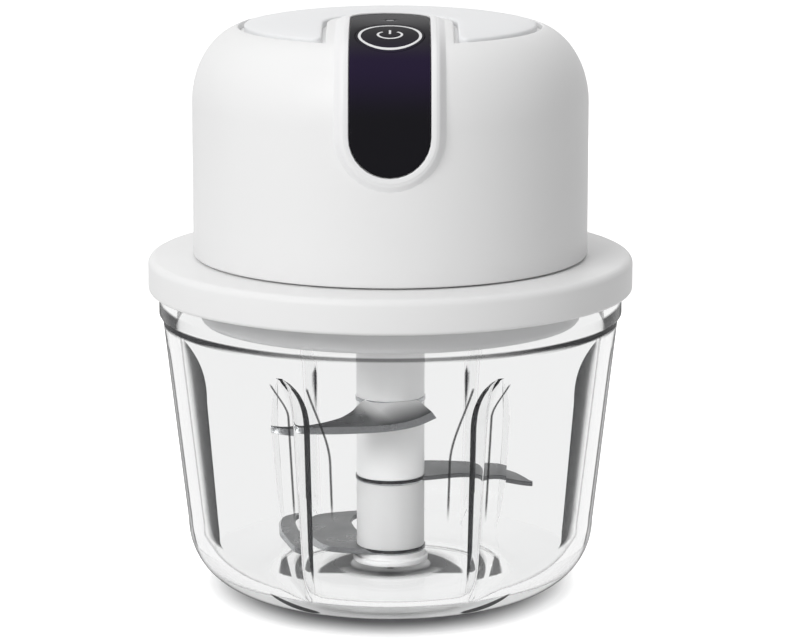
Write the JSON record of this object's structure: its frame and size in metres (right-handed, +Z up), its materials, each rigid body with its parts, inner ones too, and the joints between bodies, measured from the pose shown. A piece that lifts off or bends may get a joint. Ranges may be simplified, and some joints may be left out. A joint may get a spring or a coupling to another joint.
{
  "type": "cordless food chopper",
  "caption": "Small cordless food chopper: clear ribbed bowl, stacked steel blades on a spinning hub, and a white lift-off motor head with a key on its black front strip.",
  "frame": {"origin": "middle of the bowl's underside, on the table", "axes": "+Z up along the bowl's and the cutter's shared axis, -Y towards the front, where the key and its strip are, +X to the viewer's right"},
  "size_m": [0.096, 0.096, 0.1148],
  "materials": {
    "clear_plastic": "clear polished plastic",
    "white_plastic": "satin moulded",
    "hub_plastic": "satin moulded",
    "black_gloss": "polished",
    "lamp_plastic": "translucent",
    "soft_white": "soft moulded",
    "blade_steel": "ground",
    "zinc_steel": "bright plated",
    "dark_iron": "laminated",
    "magnet_grey": "sintered",
    "copper": "enamelled wire",
    "carbon": "matte",
    "grey_nylon": "satin moulded",
    "cell_blue": "shrink sleeve",
    "board_green": "solder mask"
  },
  "bodies": {
    "bowl_base": {"bowl": "clear_plastic", "spindle_pin": "zinc_steel"},
    "cutter_bush": {"hub_bush": "zinc_steel"},
    "cutter": {"hub_core": "grey_nylon", "hub_foot": "hub_plastic", "blade_lower": "blade_steel", "hub_spacer_lower": "hub_plastic", "blade_middle": "blade_steel", "hub_spacer_upper": "hub_plastic", "blade_upper": "blade_steel", "hub_head": "hub_plastic"},
    "rotor": {"motor_shaft": "zinc_steel", "armature_core": "dark_iron", "commutator": "copper", "drive_coupler": "grey_nylon", "winding_1": "copper", "winding_2": "copper", "winding_3": "copper"},
    "key": {"power_key": "black_gloss"},
    "port_cover": {"usb_cover": "soft_white"},
    "motor_head": {"lid": "white_plastic", "lid_seal": "soft_white", "head_shell": "white_plastic", "top_cap": "white_plastic", "control_strip": "black_gloss", "lamp_lens": "lamp_plastic", "switch_board": "board_green", "tact_switch": "carbon", "main_board": "board_green", "usb_socket": "zinc_steel", "cell_holder": "grey_nylon", "motor_can": "zinc_steel", "motor_end_cap": "grey_nylon", "motor_bearing_lower": "zinc_steel", "motor_bearing_upper": "zinc_steel", "motor_mount": "grey_nylon", "shaft_seal": "soft_white", "motor_magnet_left": "magnet_grey", "motor_magnet_right": "magnet_grey", "motor_screw_left": "zinc_steel", "motor_screw_right": "zinc_steel", "battery_cell_left": "cell_blue", "battery_cell_right": "cell_blue", "motor_brush_front": "carbon", "motor_brush_rear": "carbon", "lid_screw_1": "zinc_steel", "lid_screw_2": "zinc_steel", "lid_screw_3": "zinc_steel", "lid_screw_4": "zinc_steel"}
  },
  "joints": [
    {"name": "head_lift", "type": "slide", "parent": "bowl_base", "child": "motor_head", "axis": [0, 0, 1], "range_m": [0, 0.13]},
    {"name": "cutter_lift", "type": "slide", "parent": "bowl_base", "child": "cutter_bush", "axis": [0, 0, 1], "range_m": [0, 0.065]},
    {"name": "motor_spin", "type": "hinge", "parent": "motor_head", "child": "rotor", "pos_m": [0, 0, 0.0763], "axis": [0, 0, 1], "continuous": true},
    {"name": "cutter_spin", "type": "hinge", "parent": "cutter_bush", "child": "cutter", "pos_m": [0, 0, 0.0293], "axis": [0, 0, 1], "continuous": true},
    {"name": "key_press", "type": "slide", "parent": "motor_head", "child": "key", "axis": [0, 0.1659, -0.9861], "range_m": [0, 0.0008], "stiffness_N_per_m": 600, "springref_m": -0.002},
    {"name": "port_cover_open", "type": "hinge", "parent": "motor_head", "child": "port_cover", "pos_m": [0, 0.0393, 0.07745], "axis": [1, 0, 0], "range_deg": [0, 100]}
  ],
  "couplings": [
    {"joint": "cutter_lift", "follows": "head_lift", "ratio": 0.5},
    {"joint": "cutter_spin", "follows": "motor_spin", "ratio": 1}
  ]
}
